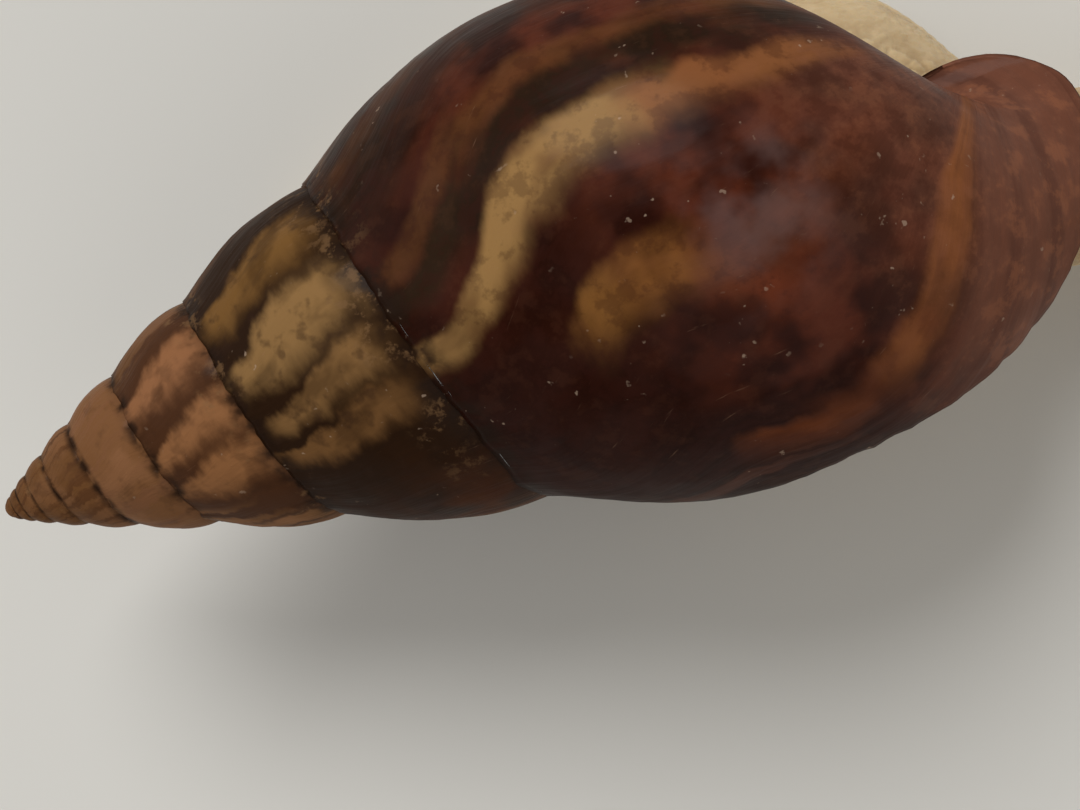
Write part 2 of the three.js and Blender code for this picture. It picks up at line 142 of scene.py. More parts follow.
def chipped(degrees, depth):
    """The turn that leaning gives, with the small chips of the lip's edge."""
    chip = 1.3 * noise.noise((depth * 0.45, 7, 0)) + 0.7 * noise.noise((depth * 1.3, 3, 0))
    return leaning(degrees, depth) + smooth_step(-7, 0, degrees) * chip


def in_shell(radius, depth, degrees):
    """A place on the spiral, from the radius and depth that it would have at the lip."""
    wide = WIDTH_GROWTH ** (degrees / 360)
    long = LENGTH_GROWTH ** (degrees / 360)
    angle = math.radians(degrees)
    return APEX + shell_turn @ Vector((wide * radius * math.cos(angle),
                                       -wide * radius * math.sin(angle), -long * depth))


def basal_drop(degrees, depth):
    """How much further down than the profile a place near the last whorl's base is."""
    share = min(max((depth - WIDEST_DEPTH) / (SHELL_LENGTH - WIDEST_DEPTH), 0), 1)
    drawn_out = (LIP_DROP - BASE_DROP) * smooth_step(DRAWN_OUT_FROM, 0, degrees)
    drop = BASE_DROP + drawn_out if degrees >= LAST_WHORL else 0
    return drop * share ** 4.5


def on_whorl(radius, depth, degrees):
    """A place on the whorls as grown: uneven at the seam, drawn out at the base and the lip."""
    uneven = 1.1 * noise.noise((degrees * 0.06, 1, 0)) + 0.5 * noise.noise((degrees * 0.22, 2, 0))
    seam = uneven * math.exp(-abs(depth - SUTURE_DEPTH) / 2.5)
    depth_there = depth + seam + basal_drop(degrees, depth)
    return in_shell(radius, depth_there, chipped(degrees, depth))


def ridge(degrees, depth):
    """Growth ridges and slow waves of the surface, for a whorl of full size."""
    line = growth_line(degrees, depth)
    share = across_whorl(depth)
    older = smooth_step(-330, -420, degrees)
    fine = 0.075 * noise.noise((line * 0.3, share * 3, 0))
    finest = 0.05 * noise.noise((line * 0.9, share * 5, 4))
    waves = 0.22 * noise.noise((line * 0.045, share * 5, 9))
    pleats = older * 0.3 * noise.noise((line * 0.13, share * 4, 2))
    return fine + finest + waves + pleats


def sweep(mesh, rows, closed=False, marks=()):
    """Extrudes the first row of (place, *marks) through the others. Returns the last edges."""
    number = mesh.verts.layers.int.get("number") or mesh.verts.layers.int.new("number")
    layers = [mesh.verts.layers.float.get(name) or mesh.verts.layers.float.new(name)
              for name in marks]

    def settle(vert, entry):
        vert.co = entry[0]
        for layer, value in zip(layers, entry[1:]):
            vert[layer] = value

    verts = [mesh.verts.new() for entry in rows[0]]
    for i, vert in enumerate(verts):
        vert[number] = i
        settle(vert, rows[0][i])
    pairs = list(zip(verts, verts[1:] + verts[:1])) if closed else list(zip(verts, verts[1:]))
    edges = [mesh.edges.new(pair) for pair in pairs]
    for row in rows[1:]:
        grown = bmesh.ops.extrude_edge_only(mesh, edges=edges)["geom"]
        fresh = {item for item in grown if isinstance(item, bmesh.types.BMVert)}
        for vert in fresh:
            settle(vert, row[vert[number]])
        edges = [item for item in grown if isinstance(item, bmesh.types.BMEdge)
                 and item.verts[0] in fresh and item.verts[1] in fresh]
    return edges


def piece_of(name, mesh, slot, *nodes):
    """Finishes a mesh as one smooth piece of the snail in the CAD model's frame."""
    bmesh.ops.transform(mesh, matrix=to_frame, verts=mesh.verts)
    data = bpy.data.meshes.new(name)
    mesh.to_mesh(data)
    mesh.free()
    data.shade_smooth()
    piece = bpy.data.objects.new(name, data)
    bpy.context.collection.objects.link(piece)
    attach(piece, "root")
    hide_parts(*nodes)
    return piece


def steps(start, end, count):
    return [start + (end - start) * i / count for i in range(count + 1)]


SHELL_MARKS = ("growth", "share", "inside")
HIDDEN_DEPTH = NEXT_SUTURE + 2.4
spire_depths = steps(SUTURE_DEPTH, HIDDEN_DEPTH, 42)
body_depths = spire_depths + [HIDDEN_DEPTH + (BASE_END - HIDDEN_DEPTH) * math.sin(t * math.pi / 2)
                              for t in steps(0, 1, 52)[1:]]

# Below its outer wall the last whorl curls in and winds up the pillar in its middle. At
# the lip it is drawn out past the pillar instead, as a short spout.
PILLAR_CURL = [(6.6, 123.6), (4.9, 122.2), (3.7, 119.0), (2.9, 114), (1.6, 109), (0.2, 107)]
SPOUT_CURL = [(4.2, 124.3), (1.0, 122.8), (-1.6, 120.4), (-2.9, 116.8), (-2.4, 112), (0.2, 108)]
CURL_COUNT = 24
RIM_CURL = 17                   # of these, the places that belong to the lip's sharp rim
PILLAR_RADIUS = 2.9
PILLAR_TOP = 77                 # above this depth the whorl before is the inner wall


def outer_profile(degrees, depths):
    """A whorl's outside on one growth line, as (radius, depth), with its ledge at the seam."""
    ragged = 0.75 + 0.5 * noise.noise((degrees * 0.12, 5, 0))
    profile = []
    for depth in depths:
        ledge = 0.45 * ragged * math.exp(-(depth - SUTURE_DEPTH) / 1.3)
        relief = (1 - smooth_step(121, BASE_END, depth)) * ridge(degrees, depth)
        profile.append((whorl_radius(depth) + ledge + relief, depth))
    return profile


def between(stations, place):
    """The sizes at a place along a list of stations, on a smooth curve through them."""
    last = len(stations) - 2
    i = max(j for j in range(last + 1) if j == 0 or stations[j][0] <= place)
    lower, upper = stations[i], stations[i + 1]
    span = upper[0] - lower[0]
    t = min(max((place - lower[0]) / span, 0), 1)

    def slope(j, k):
        before, after = stations[max(j - 1, 0)], stations[min(j + 1, last + 1)]
        return (after[k] - before[k]) / (after[0] - before[0])

    result = []
    for k in range(1, len(lower)):
        start, end = slope(i, k) * span, slope(i + 1, k) * span
        rise = upper[k] - lower[k]
        result.append(lower[k] + t * start + t * t * (3 * rise - 2 * start - end)
                      + t ** 3 * (start + end - 2 * rise))
    return result


def curl_at(degrees):
    """The curl's places, from the pillar's to the spout's as the lip comes near."""
    near = near_lip(degrees)
    mixed = [(base_radius(BASE_END), BASE_END)]
    mixed += [(a[0] + (b[0] - a[0]) * near, a[1] + (b[1] - a[1]) * near)
              for a, b in zip(PILLAR_CURL, SPOUT_CURL)]
    stations = [(i, *place) for i, place in enumerate(mixed)]
    return [tuple(between(stations, i)) for i in steps(0, len(stations) - 1, CURL_COUNT)[1:]]


def whorl_row(degrees, depths, curled=False):
    """One former lip, tucked in under the whorl above and then down over the outside."""
    row = [(on_whorl(SUTURE_RADIUS - 1.2, SUTURE_DEPTH + 0.4, degrees), degrees, 0, 0)]
    for radius, depth in outer_profile(degrees, depths) + (curl_at(degrees) if curled else []):
        row.append((on_whorl(radius, depth, degrees),
                    growth_line(degrees, depth), across_whorl(depth), 0))
    return row


def mouth_profile(degrees, wall, glaze):
    """The inside of the last whorl: its outer wall, the pillar, then the glazed whorl before."""
    outside = [(whorl_radius(depth), depth) for depth in body_depths] + curl_at(degrees)[:RIM_CURL]
    reliefs = [bumpy[0] for bumpy in outer_profile(0, body_depths)]
    profile = []
    for i, (radius, depth) in enumerate(outside):
        before, after = outside[max(i - 1, 0)], outside[min(i + 1, len(outside) - 1)]
        along = Vector((after[0] - before[0], after[1] - before[1])).normalized()
        if i < len(reliefs):
            radius = reliefs[i]
        radius, depth = radius - wall * along.y, depth + wall * along.x
        if depth < PILLAR_TOP:
            radius = max(radius, whorl_before(max(depth, SUTURE_DEPTH)) + glaze)
        profile.append((radius, depth))
    pillar = PILLAR_RADIUS + wall
    last = profile[-1]
    profile += [(last[0] + (pillar - last[0]) * share, last[1] + (80 - last[1]) * share)
                for share in (0.2, 0.4, 0.6, 0.8, 1)]
    for depth in steps(77.5, SUTURE_DEPTH + 1.5, 14):
        profile.append((max(whorl_before(depth) + glaze, pillar), depth))
    return profile


def mouth_row(degrees, wall, glaze, pale):
    """The inside at one turn, which is pale but for the rim, and for the spout, which keeps the
    dark outer tone as painted shade.
    """
    return [(on_whorl(radius, depth, degrees), growth_line(degrees, depth), across_whorl(depth),
             # Deep in the spout the pale fades out, leaving painted shade.
             pale * smooth_step(117, 106, depth))
            for radius, depth in mouth_profile(degrees, wall, glaze)]


def turn_outwards(mesh):
    """Turns the faces of a sheet of shell away from the shell's axis."""
    bmesh.ops.recalc_face_normals(mesh, faces=mesh.faces)
    axis = shell_turn @ Vector((0, 0, -1))
    inside = mesh.verts.layers.float["inside"]
    vote = 0
    for face in mesh.faces:
        if face.verts[0][inside] == 0:
            centre = face.calc_center_median()
            on_axis = APEX + axis * (centre - APEX).dot(axis)
            vote += face.normal.dot(centre - on_axis)
    if vote < 0:
        bmesh.ops.reverse_faces(mesh, faces=mesh.faces)


def wind(mesh, start, end, per_turn, depths, curled=False):
    """Winds whorls from one turn to another, with so many rows for a full turn."""
    count = round((end - start) / 360 * per_turn)
    rows = [whorl_row(degrees, depths, curled) for degrees in steps(start, end, count)]
    return sweep(mesh, rows, marks=SHELL_MARKS)


# The tip is the hatchling's shell. The first row of the sheet is closed with a face, and
# a small round knob, the part the egg held, fills the hole that the first turn leaves.
KNOB_RADIUS = 1.22
KNOB_DEPTH = 1.9
tip_mesh = bmesh.new()
tip_depths = spire_depths[::2]
wind(tip_mesh, FIRST_TURN, TIP_END, 60, tip_depths)
tip_mesh.verts.ensure_lookup_table()
bmesh.ops.contextual_create(tip_mesh, geom=tip_mesh.verts[:len(tip_depths) + 1])
turn_outwards(tip_mesh)
knob_centre = APEX + shell_turn @ Vector((0, 0, -KNOB_DEPTH))
knob = bmesh.ops.create_icosphere(tip_mesh, subdivisions=3, radius=KNOB_RADIUS,
                                  matrix=Matrix.Translation(knob_centre))
for vert in knob["verts"]:
    vert[tip_mesh.verts.layers.float["growth"]] = FIRST_TURN
    vert[tip_mesh.verts.layers.float["share"]] = 0.3

spire_mesh = bmesh.new()
wind(spire_mesh, TIP_END, SPIRE_END, 120, spire_depths)
turn_outwards(spire_mesh)

# The last two whorls and the mouth, whose sharp lip turns in to the porcelain inside. The
# wall and the glaze on the whorl before thicken from their size at the lip.
LIP_WALL, WALL_GAIN = 0.35, 0.85
LIP_GLAZE, GLAZE_GAIN = -0.05, 0.65
shell_mesh = bmesh.new()
wind(shell_mesh, SPIRE_END, LAST_WHORL, 180, spire_depths)
wind(shell_mesh, LAST_WHORL, 0, 240, body_depths, curled=True)
outside_count = len(body_depths) + RIM_CURL
rim_out = whorl_row(0, body_depths, curled=True)[1:outside_count + 1]
rim_in = mouth_row(0, LIP_WALL, LIP_GLAZE, 0)[:outside_count]
sweep(shell_mesh, [rim_out, rim_in], marks=SHELL_MARKS)
deeper = []
for degrees in steps(0, MOUTH_END, 50):
    thick = smooth_step(0, -14, degrees)
    deeper.append(mouth_row(degrees, LIP_WALL + WALL_GAIN * thick, LIP_GLAZE + GLAZE_GAIN * thick,
                            smooth_step(-1, -9, degrees)))
end_of_mouth = sweep(shell_mesh, deeper, closed=True, marks=SHELL_MARKS)
bmesh.ops.contextual_create(shell_mesh, geom=end_of_mouth)
bmesh.ops.remove_doubles(shell_mesh, verts=shell_mesh.verts, dist=0.0005)
turn_outwards(shell_mesh)


class Amount:
    """A number that changes over a surface, so that a finish is written as plain arithmetic."""

    def __init__(self, finish, socket):
        self.finish = finish
        self.socket = socket

    def maths(self, operation, *values):
        return self.finish.node("ShaderNodeMath", {"operation": operation},
                                dict(enumerate(values)))

    def __add__(self, other):
        return self.maths("ADD", self, other)

    def __sub__(self, other):
        return self.maths("SUBTRACT", self, other)

    def __rsub__(self, other):
        return self.maths("SUBTRACT", other, self)

    def __mul__(self, other):
        return self.maths("MULTIPLY", self, other)

    def __truediv__(self, other):
        return self.maths("DIVIDE", self, other)

    def between(self, low, high):
        """0 up to low and 1 from high on, or the other way round, with a soft change."""
        settings = {"interpolation_type": "SMOOTHSTEP"}
        if low < high:
            return self.finish.node("ShaderNodeMapRange", settings,
                                    {"Value": self, "From Min": low, "From Max": high})
        return 1 - self.between(high, low)

    __radd__ = __add__
    __rmul__ = __mul__


class Finish:
    """A paint or polish: one material, its nodes and its shader."""

    def __init__(self, name):
        self.material = bpy.data.materials.new(name)
        self.material.use_nodes = True
        self.tree = self.material.node_tree
        self.shader = self.tree.nodes["Principled BSDF"]

    def node(self, kind, settings, sockets, output=0):
        node = self.tree.nodes.new(kind)
        for name, value in settings.items():
            setattr(node, name, value)
        for name, value in sockets.items():
            self.join(node.inputs[name], value)
        return Amount(self, node.outputs[output])

    def join(self, socket, value):
        if isinstance(value, Amount):
            self.tree.links.new(value.socket, socket)
        else:
            socket.default_value = value

    def set(self, **values):
        for name, value in values.items():
            self.join(self.shader.inputs[name.replace("_", " ")], value)

    def mark(self, name):
        return self.node("ShaderNodeAttribute", {"attribute_name": name}, {}, "Fac")

    def place(self):
        return self.node("ShaderNodeTexCoord", {}, {}, "Object")

    def cloud(self, vector, scale, detail=3.0, roughness=0.5):
        """Soft noise from about 0.3 to 0.7."""
        return self.node("ShaderNodeTexNoise", {}, {
            "Vector": vector, "Scale": scale, "Detail": detail, "Roughness": roughness})

    def point(self, x, y, z=0.0):
        return self.node("ShaderNodeCombineXYZ", {}, {0: x, 1: y, 2: z})

    def blend(self, factor, under, over):
        """The second colour laid over the first by a factor."""
        return self.node("ShaderNodeMix", {"data_type": "RGBA"},
                         {0: factor, 6: under, 7: over}, 2)

    def coats(self, tone, *layers):
        """A tone under layers of (factor, red, green, blue), each laid over the ones before."""
        for factor, *shade in layers:
            tone = self.blend(factor, tone, colour(*shade))
        return tone

    def bump(self, height, millimetres):
        self.set(Normal=self.node("ShaderNodeBump", {}, {
            "Height": height, "Distance": millimetres / 1000, "Strength": 1.0}))


def colour(red, green, blue):
    """A colour as paint charts give it, from 0 to 255."""
    linear = [(c / 255 / 12.92) if c < 10.3 else ((c / 255 + 0.055) / 1.055) ** 2.4
              for c in (red, green, blue)]
    return (*linear, 1)


def shell_finish(name):
    """Shell paint by growth line, in degrees from the lip, and by share across the whorl."""
    finish = Finish(name)
    growth, share, place = finish.mark("growth"), finish.mark("share"), finish.place()
    wide = finish.cloud(finish.point(growth * 0.02, share * 4.0), 1.0)
    jagged = finish.cloud(finish.point(growth * 0.05, share * 13.0, 3.0), 1.0, 4.0)
    earlier = growth.between(-88, -112)
    old = growth.between(-330, -400)
    older = growth.between(-500, -760)
    oldest = growth.between(-880, -1150)
    line = growth + (wide - 0.5) * 9 + (jagged - 0.5) * (8 + old * 7)
    ragged = share + (jagged - 0.5) * 0.12
    patches = finish.cloud(place, 170.0, 2.0)
    broken = finish.cloud(finish.point(growth * 0.08, share * 6.0, 6.0), 1.0)

    # Brown ground: deep red by the lip, less red behind, tan and worn up the spire, with painted
    # shade and a painted sheen on parts of the last whorl.
    # The light patches fade toward the seam, so that part of the ground is darker, partly as
    # painted shade.
    light = patches.between(0.36, 0.64) * (0.35 + share.between(0.1, 0.45) * 0.65)
    ground = finish.blend(light, colour(38, 12, 5), colour(80, 36, 21))
    ground = finish.blend(earlier, ground, finish.blend(light, colour(34, 17, 6),
                                                        colour(70, 37, 17)))
    # Painted shade: the ground is darkened above the widest place just behind the lip, and below
    # it at the lip.
    low = (growth.between(-70, -45) * share.between(0.5, 0.3)
           + growth.between(-6, 8) * share.between(0.74, 0.56))
    # Painted sheen: the ground is lightened below the widest place, behind the lip and by it.
    painted_sheen = (share.between(0.6, 0.9) * growth.between(-75, -55)
            + growth.between(15, 27) * share.between(0.52, 0.78)) * 0.6
    ground = finish.coats(
        ground,
        (low * 0.75, 32, 9, 3),
        (painted_sheen, 106, 66, 50),
        (old, 39, 22, 9),
        (older, 70, 42, 24),
        (oldest, 118, 79, 52),
        (growth.between(-1200, -1500), 88, 56, 32))

    # Where flames come at uneven steps along the growth, away from the marked ones.
    beat = finish.cloud(finish.point(line * 0.09, share * 0.9, 8.0), 1.0, 1.0)
    plain = (growth.between(-135, -150) * growth.between(-350, -330)
             + growth.between(-488, -500) * growth.between(-742, -730)
             + growth.between(-830, -845) * 0.55)
    worn_flame = finish.blend(patches.between(0.38, 0.62), colour(114, 77, 43),
                              colour(138, 96, 63))
    flame = finish.blend(older, colour(88, 54, 28), worn_flame)
    tone = finish.blend(beat.between(0.34, 0.52) * plain * 0.85, ground, flame)

    # Flames: growth line, half width, from share, to share, strength, colour.
    for centre, reach, start, end, strength, shade in (
            (14, 6, 0.38, 0.5, 0.6, (118, 60, 26)),
            (12, 7, 0.5, 0.62, 0.35, (112, 58, 30)),
            (12, 8, 0.64, 1.0, 0.8, (134, 80, 44)),
            (-17, 7, 0.5, 0.62, 0.4, (118, 54, 28)),
            (-26, 8, 0.45, 0.8, 0.4, (110, 58, 35)),
            (-32, 8, 0.28, 0.31, 0.95, (142, 95, 46)),
            (-31, 8.5, 0.36, 0.43, 0.95, (138, 88, 43)),
            (-84, 9, 0.03, 0.25, 0.6, (88, 54, 28)),
            (-77, 8, 0.25, 0.9, 0.65, (96, 58, 30)),
            (-75, 9, 0.0, 0.25, 0.9, (40, 26, 12)),
            (-70, 9, 0.2, 0.9, 0.95, (34, 21, 11)),
            (-60, 8.5, 0.0, 0.55, 1.0, (145, 110, 65)),
            (-58, 7, 0.53, 0.86, 0.75, (138, 86, 48)),
            (-103, 10, 0.0, 0.9, 0.8, (38, 20, 13)),
            (-123, 10, 0.0, 0.9, 0.6, (70, 38, 13)),
            (-401, 8, 0.04, 0.4, 0.75, (120, 84, 48)),
            (-416, 9, 0.06, 0.42, 0.9, (128, 94, 56)),
            (-437, 15, 0.04, 0.43, 1.0, (134, 101, 61)),
            (-464, 15, 0.04, 0.43, 0.9, (116, 82, 42)),
            (-755, 14, 0.0, 0.5, 0.9, (140, 95, 59)),
            (-779, 13.5, 0.0, 0.5, 0.9, (141, 96, 61)),
            (-811, 17, 0.0, 0.5, 0.9, (142, 96, 63))):
        side = (line - centre) / (reach * (0.64 + share.between(0.03, 0.32) * 0.36))
        across = side.between(-1, -0.45) * side.between(1.15, 0)
        along = ragged.between(start - 0.06, start + 0.04) * ragged.between(end + 0.1, end - 0.06)
        rubbed = 1 - broken.between(0.48, 0.66) * 0.5
        tone = finish.blend(across * along * rubbed * strength, tone, colour(*shade))

    # Years of wear and some painted light, each over the one before: dark blotches, streaks
    # near the lip, pale blotches that are partly painted sheen, dark stain and loose flakes at
    # the seams, grime patches on the older whorls, chalky specks and scratches, and a pale
    # bloom on the crown, part dust and part painted sheen.
    young = growth.between(-8, 14)
    worn = finish.cloud(place, 300.0, 4.0, 0.65)
    streaks = finish.cloud(finish.point(line * 0.16, share * 1.8, 21.0), 1.0, 2.0)
    seam = share.between(0.06, 0.01) + share.between(0.41, 0.5) * old
    stained = finish.cloud(place, 420.0)
    flaked = share.between(0.075, 0.03) * earlier + share.between(0.35, 0.4) * old
    flakes = (finish.cloud(place, 460.0, 4.0, 0.72).between(0.52, 0.64)
              * finish.cloud(place, 120.0).between(0.46, 0.6))
    speck = (finish.cloud(place, 900.0, 2.0).between(0.69, 0.75)
             * finish.cloud(place, 95.0).between(0.48, 0.62))
    scratch = finish.cloud(finish.point(growth * 0.8, share * 9.0, 12.0), 1.0, 4.0, 0.7)
    # A pale bloom, part real dust and part painted sheen, strongest on one patch of the crown.
    dust_and_sheen_spot = (growth.between(-52, -36) * growth.between(-8, -30)
             * share.between(0.42, 0.56) * share.between(0.78, 0.64))
    dust_and_sheen = finish.cloud(place, 160.0).between(0.35, 0.65) * (0.03 + dust_and_sheen_spot * 0.45) * (1 - old)
    tone = finish.coats(
        tone,
        (worn.between(0.49, 0.61) * (0.36 - young * 0.24) * (1 - old), 50, 20, 12),
        (streaks.between(0.48, 0.66) * young * 0.3, 58, 28, 22),
        (streaks.between(0.48, 0.32) * young * 0.2, 122, 72, 52),
        (worn.between(0.5, 0.36) * (0.04 + painted_sheen * 0.36) * (1 - old), 138, 86, 60),
        (seam * (0.2 + stained.between(0.4, 0.6) * 0.7), 32, 19, 11),
        (flakes * flaked * 0.5, 118, 88, 58),
        (stained.between(0.54, 0.7) * old * (1 - older * 0.5) * 0.5, 46, 28, 17),
        (speck * 0.45, 176, 152, 130),
        (scratch.between(0.65, 0.76) * 0.26, 142, 108, 84),
        (dust_and_sheen, 104, 82, 78))

    inside = finish.mark("inside").between(0.1, 0.9)
    finish.set(Base_Color=finish.blend(inside, tone, colour(188, 190, 190)),
               Roughness=0.32 + patches.between(0.3, 0.7) * 0.16 + old * 0.12)
    lines = finish.cloud(finish.point(growth * 0.4, share * 6.0), 1.0, 3.0)
    finish.bump(lines + patches * 0.8, 0.1)
    finish.set(Specular_IOR_Level=0.02, Coat_Weight=0.05, Coat_Roughness=0.15)
    return finish.material


tip_piece = piece_of("shell_tip", tip_mesh, "shell_apex", "shell_apex")
spire_piece = piece_of("shell_spire", spire_mesh, "shell_spire",
                       "shell_upper_spire_whorl", "shell_lower_spire_whorl")
shell_piece = piece_of("shell_last_whorls", shell_mesh, "shell",
                       "shell_penultimate_whorl", "shell_body_whorl")
shell_paint = shell_finish("shell brown with flames")
for piece in (tip_piece, spire_piece, shell_piece):
    piece.data.materials.append(shell_paint)

# ---------------------------------------------------------------------------------------
# The mantle. The thick moist edge of the flesh that lines the shell's mouth and lays down
# new shell there. It fills the mouth just behind the lip, all round the body that comes
# out of it, with the breathing hole drawn shut.

MANTLE_WALL, MANTLE_GLAZE = 1.05, 0.35      # it lines the mouth a little inside its wall
ROUNDED_EDGE = [(-5.4, 0.985), (-4.4, 0.95), (-4, 0.9), (-3.9, 0.82), (-4.6, 0.7)]
mantle_mesh = bmesh.new()
mantle_rows = []
for degrees, size in [(degrees, 1.0) for degrees in steps(-45, -7, 14)] + ROUNDED_EDGE:
    profile = mouth_profile(degrees, MANTLE_WALL, MANTLE_GLAZE)
    middle = (sum(radius for radius, depth in profile) / len(profile),
              sum(depth for radius, depth in profile) / len(profile))
    row = []
    for radius, depth in profile:
        radius = middle[0] + (radius - middle[0]) * size
        depth = middle[1] + (depth - middle[1]) * size
        # Towards the spout it draws back to the middle.
        pulled = 0.5 * smooth_step(106, 118, depth)
        radius += (middle[0] - radius) * pulled
        depth += (middle[1] - depth) * pulled
        row.append((on_whorl(radius, depth, degrees),))
    mantle_rows.append(row)
mantle_end = sweep(mantle_mesh, mantle_rows, closed=True)
bmesh.ops.contextual_create(mantle_mesh, geom=mantle_end)
bmesh.ops.contextual_create(mantle_mesh, geom=mantle_mesh.verts[:len(mantle_rows[0])])
bmesh.ops.recalc_face_normals(mantle_mesh, faces=mantle_mesh.faces)
mantle_piece = piece_of("mantle_edge", mantle_mesh, "mantle", "mantle_collar")

FLESH_GLOW = (0.003, 0.0014, 0.0007)        # how deep red, green and blue light sinks in
mantle_paint = Finish("moist cream mantle")
mantle_place = mantle_paint.place()
mantle_paint.set(
    Base_Color=mantle_paint.blend(mantle_paint.cloud(mantle_place, 260.0).between(0.35, 0.65),
                                  colour(196, 168, 126), colour(222, 200, 162)),
    Roughness=0.32, Coat_Weight=0.35, Coat_Roughness=0.15, Subsurface_Weight=0.15,
    Subsurface_Radius=FLESH_GLOW, Subsurface_Scale=1.0)
mantle_paint.bump(mantle_paint.cloud(mantle_place, 900.0), 0.12)
mantle_piece.data.materials.append(mantle_paint.material)

# ---------------------------------------------------------------------------------------
# The skin. All flesh outside the shell is one soft skin: a long flat foot with a thin
# skirt, a waist that rises into the shell, a neck and head with two pairs of feelers. It
# is moist and cream, broken by furrows into rows of warts that shrink towards the head.


def round_row(centre, across, over, count):
    """A ring of places about a centre, which reaches as far as the two arms each way."""
    return [(centre + across * math.cos(2 * math.pi * i / count)
             + over * math.sin(2 * math.pi * i / count),) for i in range(count)]


def add_limb(mesh, rows):
    """A closed length of flesh through rings of places."""
    start = len(mesh.verts)
    end = sweep(mesh, rows, closed=True)
    bmesh.ops.contextual_create(mesh, geom=end)
    mesh.verts.ensure_lookup_table()
    bmesh.ops.contextual_create(mesh, geom=mesh.verts[start:start + len(rows[0])])


# Along the foot: middle line, half width, height of the back.
FOOT = [(TAIL_TIP, -9, 0.8, 1.4), (-44, -6.4, 6.6, 5), (-30, -2.4, 13, 9), (-10, 1.2, 20, 12.4),
        (10, 2.4, 21.8, 14.4), (25, 2.3, 21.8, 14), (33, 0.8, 19, 12.6),
        (39.5, -0.6, 14.4, 11), (47, -1.2, 10.6, 9.4), (56, -1.4, 9.4, 8.4),
        (72, -3.2, 10.4, 7.4), (82, -5.2, 10.4, 6), (87.5, -6.4, 8.8, 4.8),
        (90.6, -6.8, 5.8, 3.2), (91.8, -7, 2.4, 1.8)]
HALF_FOOT = [(1, 0), (1.0, 0.07), (0.97, 0.2), (0.9, 0.4), (0.8, 0.6), (0.68, 0.76),
             (0.52, 0.88), (0.36, 0.95), (0.18, 0.99)]
# Along the neck and head: middle line, height, half width, half height.
NECK = [(16, -8, 20, 4, 5), (24, -8, 21, 9, 11), (34, -7.2, 21.2, 11.6, 13.8),
        (44, -5.8, 19.6, 10.6, 13), (55, -5.2, 18.2, 9.4, 12.2), (66, -5, 17, 9.5, 10.8),
        (76, -5.4, 16.4, 10.4, 10.2), (83, -6.1, 14.9, 9.7, 9.2), (88, -6.6, 13.4, 7.9, 7.6),
        (91, -6.9, 12.4, 5, 5.2), (92.4, -7, 12, 1.8, 2)]
# Up the waist: place along and across, half length, half width, turn.
WAIST = [(4, 7, 0, 31, 15, 4), (12, 9, -3, 28.5, 14.5, 8), (20, 12, -8, 27, 14.5, 15),
         (30, 15, -15.2, 26, 14.2, 26), (36, 16, -19.4, 23.5, 12.8, 31),
         (41, 14, -22.4, 17.5, 10, 33), (46.5, 11, -23.2, 8, 6, 34)]
MOUTH_LINE = -6.8
LIP_RADII = (2.9, 2.7, 3.3)

flesh = bmesh.new()
outline = HALF_FOOT + [(0, 1)] + [(-y, z) for y, z in reversed(HALF_FOOT)]
foot_rows = []
for x in steps(FOOT[0][0], FOOT[-1][0], 100):
    y, half_width, height = between(FOOT, x)
    foot_rows.append([(Vector((x, y + a * half_width, b * height)),) for a, b in outline])
add_limb(flesh, foot_rows)

neck_rows = []
for x in steps(NECK[0][0], NECK[-1][0], 80):
    y, z, half_width, half_height = between(NECK, x)
    neck_rows.append(round_row(Vector((x, y, z)), Vector((0, half_width, 0)),
                               Vector((0, 0, half_height)), 48))
add_limb(flesh, neck_rows)

waist_rows = []
for z in steps(WAIST[0][0], WAIST[-1][0], 30):
    x, y, half_length, half_width, turn = between(WAIST, z)
    twist = Matrix.Rotation(math.radians(turn), 3, "Z")
    waist_rows.append(round_row(Vector((x, y, z)), twist @ Vector((half_length, 0, 0)),
                                twist @ Vector((0, half_width, 0)), 60))
add_limb(flesh, waist_rows)

for side in (1, -1):
    lip_at = Matrix.Translation((90.2, MOUTH_LINE + side * 2.5, 6.4))
    bmesh.ops.create_icosphere(flesh, subdivisions=4, radius=1,
                               matrix=lip_at @ Matrix.Diagonal((*LIP_RADII, 1)))

# A feeler's places outward from the head line, and its radius at each.
UPPER_FEELER = [(79, 4.6, 19.5), (86, 7.2, 25.9), (93.5, 10.6, 30.1), (100.5, 14.2, 31.9)]
UPPER_RADII = [(0, 2.3), (1, 1.5), (2, 1.15), (3, 1.05)]
UPPER_BULB = 1.75
LOWER_FEELER = [(85.6, 5.4, 10), (88.2, 6.6, 9.2), (90.8, 7.6, 7.6), (92.4, 8.2, 6.4)]
LOWER_RADII = [(0, 1.7), (1, 1.25), (2, 1.05), (3, 1.0)]
LOWER_BULB = 1.3


def add_feeler(mesh, stations, radii, bulb, side):
    """A bent, tapering feeler with a round bulb at its end, on the left (1) or right (-1)."""
    line = [(i, x, HEAD_LINE + side * y, z) for i, (x, y, z) in enumerate(stations)]
    rows = []
    for t in steps(0, 3, 36):
        centre = Vector(between(line, t))
        along = (Vector(between(line, t + 0.02)) - Vector(between(line, t - 0.02))).normalized()
        across = Vector((0, 0, 1)).cross(along).normalized()
        radius = between(radii, t)[0]
        rows.append(round_row(centre, across * radius, along.cross(across) * radius, 20))
    add_limb(mesh, rows)
    bmesh.ops.create_icosphere(mesh, subdivisions=3, radius=bulb,
                               matrix=Matrix.Translation(Vector(line[-1][1:])))


for side in (1, -1):
    add_feeler(flesh, UPPER_FEELER, UPPER_RADII, UPPER_BULB, side)
    add_feeler(flesh, LOWER_FEELER, LOWER_RADII, LOWER_BULB, side)
bmesh.ops.recalc_face_normals(flesh, faces=flesh.faces)

